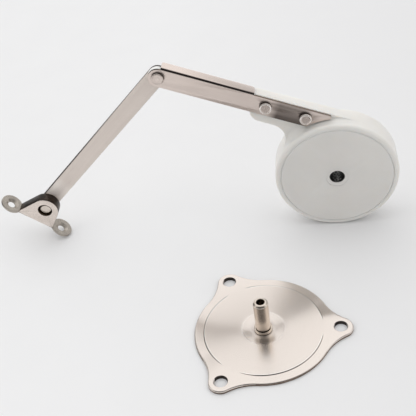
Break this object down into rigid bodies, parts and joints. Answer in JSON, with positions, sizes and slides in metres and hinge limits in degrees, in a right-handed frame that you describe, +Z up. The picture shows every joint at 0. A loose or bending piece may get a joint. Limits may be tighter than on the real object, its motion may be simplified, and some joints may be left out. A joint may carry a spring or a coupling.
{
  "type": "damped lid stay",
  "caption": "Lid stay with a round rotary damper, a flanged arm, a riveted link and a flap bracket, shown with its lobed mounting plate and pivot post taken off.",
  "frame": {"origin": "middle of the bounding box, on the surface that the damper, the bracket and the plate rest on", "axes": "+X to the right along the arms towards the damper, +Y to the back along the damper axis, +Z up"},
  "size_m": [0.2266, 0.1356, 0.1064],
  "materials": {
    "housing_white": "off-white moulded plastic, satin",
    "cover_grey": "pale grey moulded plastic, satin",
    "rotor_black": "black filled plastic",
    "valve_natural": "natural plastic",
    "ring_rubber": "black sealing rubber",
    "nickel_arm": "warm nickel plating, satin",
    "rivet_steel": "nickel plated, bright",
    "washer_steel": "zinc plated",
    "nylon_white": "white nylon",
    "bracket_nickel": "nickel plated casting, satin",
    "plate_nickel": "polished nickel plating",
    "post_nickel": "nickel plated, turned"
  },
  "bodies": {
    "damper": {"housing": "housing_white", "cover": "cover_grey", "front_ring": "ring_rubber", "back_ring": "ring_rubber", "main_arm": "nickel_arm", "arm_rivet_outer": "rivet_steel", "arm_rivet_inner": "rivet_steel", "rivet_washer_outer": "washer_steel", "rivet_washer_inner": "washer_steel", "elbow_rivet": "rivet_steel", "elbow_spacer": "nylon_white", "elbow_washer": "washer_steel", "mounting_plate": "plate_nickel", "pivot_post": "post_nickel"},
    "rotor": {"rotor": "rotor_black", "check_valve_a": "valve_natural", "check_valve_b": "valve_natural"},
    "link": {"link": "nickel_arm"},
    "bracket": {"bracket": "bracket_nickel", "bracket_rivet": "rivet_steel", "bracket_washer": "nylon_white"}
  },
  "joints": [
    {"name": "elbow", "type": "hinge", "parent": "damper", "child": "link", "pos_m": [-0.00934, 0.0592, 0.10054], "axis": [0, -1, 0], "range_deg": [-60, 60]},
    {"name": "bracket_pivot", "type": "hinge", "parent": "link", "child": "bracket", "pos_m": [-0.08832, 0.0592, 0.02071], "axis": [0, -1, 0], "range_deg": [-75, 75]},
    {"name": "damper_turn", "type": "hinge", "parent": "damper", "child": "rotor", "pos_m": [0.07984, 0.05885, 0.0335], "axis": [0, -1, 0], "range_deg": [-50, 50]}
  ]
}
